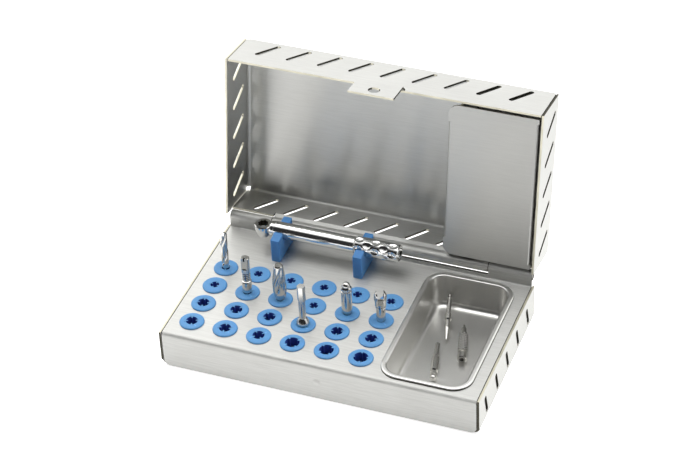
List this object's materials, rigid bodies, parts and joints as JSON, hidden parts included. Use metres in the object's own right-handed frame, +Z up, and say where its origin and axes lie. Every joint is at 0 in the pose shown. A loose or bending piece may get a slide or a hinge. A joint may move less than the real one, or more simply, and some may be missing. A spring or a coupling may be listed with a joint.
{
  "type": "dental instrument cassette",
  "caption": "Stainless steel instrument cassette: slotted hinged lid with latch, deck of blue silicone grommets, a lift-out bowl, a ratchet and surgical drivers.",
  "frame": {"origin": "middle of the flat underside of the base, on the surface that it stands on", "axes": "+X to the right, +Y from the apron to the hinge, +Z up; the lid stands open at rest"},
  "size_m": [0.16, 0.1263, 0.1183],
  "materials": {
    "brushed_sheet": "brushed along X",
    "satin_sheet": "satin",
    "plain_pin": "plain turned",
    "blue_silicone": "matt moulded",
    "polished_steel": "polished",
    "tool_steel": "polished and ground"
  },
  "bodies": {
    "base": {"base_tray": "brushed_sheet", "top_plate": "brushed_sheet", "hinge_pin": "plain_pin", "holder_left": "blue_silicone", "holder_right": "blue_silicone", "grommet_r0_c0": "blue_silicone", "grommet_r0_c1": "blue_silicone", "grommet_r0_c2": "blue_silicone", "grommet_r0_c3": "blue_silicone", "grommet_r0_c4": "blue_silicone", "grommet_r0_c5": "blue_silicone", "grommet_r1_c0": "blue_silicone", "grommet_r1_c1": "blue_silicone", "grommet_r1_c2": "blue_silicone", "grommet_r1_c3": "blue_silicone", "grommet_r1_c4": "blue_silicone", "grommet_r1_c5": "blue_silicone", "grommet_r2_c0": "blue_silicone", "grommet_r2_c1": "blue_silicone", "grommet_r2_c2": "blue_silicone", "grommet_r2_c3": "blue_silicone", "grommet_r2_c4": "blue_silicone", "grommet_r2_c5": "blue_silicone", "grommet_r3_c0": "blue_silicone", "grommet_r3_c1": "blue_silicone", "grommet_r3_c2": "blue_silicone", "grommet_r3_c3": "blue_silicone", "grommet_r3_c4": "blue_silicone", "grommet_r3_c5": "blue_silicone"},
    "lid": {"lid_shell": "brushed_sheet", "bowl_cover": "brushed_sheet", "cover_rivets": "plain_pin"},
    "bowl": {"bowl": "satin_sheet"},
    "ratchet": {"ratchet_head": "polished_steel", "ratchet_cap": "polished_steel", "ratchet_handle": "polished_steel", "ratchet_pawl": "polished_steel", "pawl_spring": "polished_steel", "pawl_screw": "polished_steel"},
    "wheel": {"ratchet_wheel": "polished_steel"},
    "nut": {"ratchet_nut": "polished_steel"},
    "twist_drill": {"twist_drill": "tool_steel"},
    "step_driver": {"step_driver": "tool_steel"},
    "flame_drill": {"flame_drill": "tool_steel"},
    "hex_driver": {"hex_driver": "tool_steel"},
    "ball_driver": {"ball_driver": "tool_steel"},
    "crown_cutter": {"crown_cutter": "tool_steel"},
    "slim_driver": {"slim_driver": "tool_steel"},
    "knurled_driver": {"knurled_driver": "tool_steel"},
    "ball_end_driver": {"ball_end_driver": "tool_steel"}
  },
  "joints": [
    {"name": "lid_hinge", "type": "hinge", "parent": "base", "child": "lid", "pos_m": [0, 0.0455, 0.02525], "axis": [-1, 0, 0], "range_deg": [-99.5, 0]},
    {"name": "bowl_lift", "type": "slide", "parent": "base", "child": "bowl", "axis": [0, 0, 1], "range_m": [0, 0.025]},
    {"name": "ratchet_lift", "type": "slide", "parent": "base", "child": "ratchet", "axis": [0, 0, 1], "range_m": [0, 0.03]},
    {"name": "wheel_turn", "type": "hinge", "parent": "ratchet", "child": "wheel", "pos_m": [-0.056, 0.0326, 0.03275], "axis": [0, 0, 1], "continuous": true},
    {"name": "nut_turn", "type": "hinge", "parent": "ratchet", "child": "nut", "pos_m": [0, 0.0326, 0.0328], "axis": [1, 0, 0], "continuous": true},
    {"name": "twist_drill_lift", "type": "slide", "parent": "base", "child": "twist_drill", "axis": [0, 0, 1], "range_m": [0, 0.035]},
    {"name": "step_driver_lift", "type": "slide", "parent": "base", "child": "step_driver", "axis": [0, 0, 1], "range_m": [0, 0.035]},
    {"name": "flame_drill_lift", "type": "slide", "parent": "base", "child": "flame_drill", "axis": [0, 0, 1], "range_m": [0, 0.035]},
    {"name": "hex_driver_lift", "type": "slide", "parent": "base", "child": "hex_driver", "axis": [0, 0, 1], "range_m": [0, 0.035]},
    {"name": "ball_driver_lift", "type": "slide", "parent": "base", "child": "ball_driver", "axis": [0, 0, 1], "range_m": [0, 0.035]},
    {"name": "crown_cutter_lift", "type": "slide", "parent": "base", "child": "crown_cutter", "axis": [0, 0, 1], "range_m": [0, 0.035]},
    {"name": "slim_driver_lift", "type": "slide", "parent": "bowl", "child": "slim_driver", "axis": [0, 0, 1], "range_m": [0, 0.03]},
    {"name": "knurled_driver_lift", "type": "slide", "parent": "bowl", "child": "knurled_driver", "axis": [0, 0, 1], "range_m": [0, 0.03]},
    {"name": "ball_end_driver_lift", "type": "slide", "parent": "bowl", "child": "ball_end_driver", "axis": [0, 0, 1], "range_m": [0, 0.03]}
  ]
}
